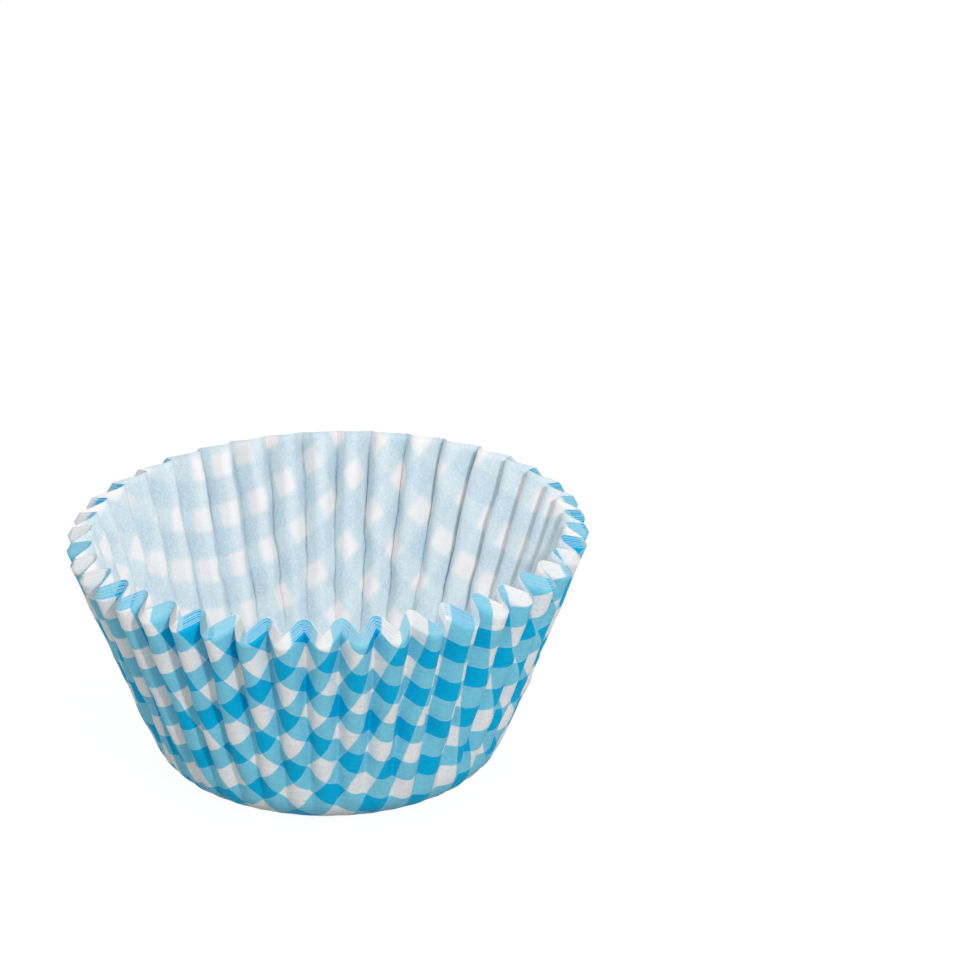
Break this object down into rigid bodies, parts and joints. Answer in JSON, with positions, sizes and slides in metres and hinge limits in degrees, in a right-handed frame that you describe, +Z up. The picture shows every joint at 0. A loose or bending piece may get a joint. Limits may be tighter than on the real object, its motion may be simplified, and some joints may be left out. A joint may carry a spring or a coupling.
{
  "type": "cupcake liner",
  "caption": "Fluted paper baking cup with a flat round base and an open pleated rim, a tight nest of pressed sheets that holds batter in a muffin tin.",
  "frame": {"origin": "middle of the underside of the flat base, which the liner stands on", "axes": "+Z up through the open rim, square to the base"},
  "size_m": [0.0767, 0.0747, 0.0379],
  "materials": {
    "printed_paper": "matte greaseproof paper, gingham print outside"
  },
  "bodies": {
    "root": {"paper_liner": "printed_paper"}
  },
  "joints": []
}
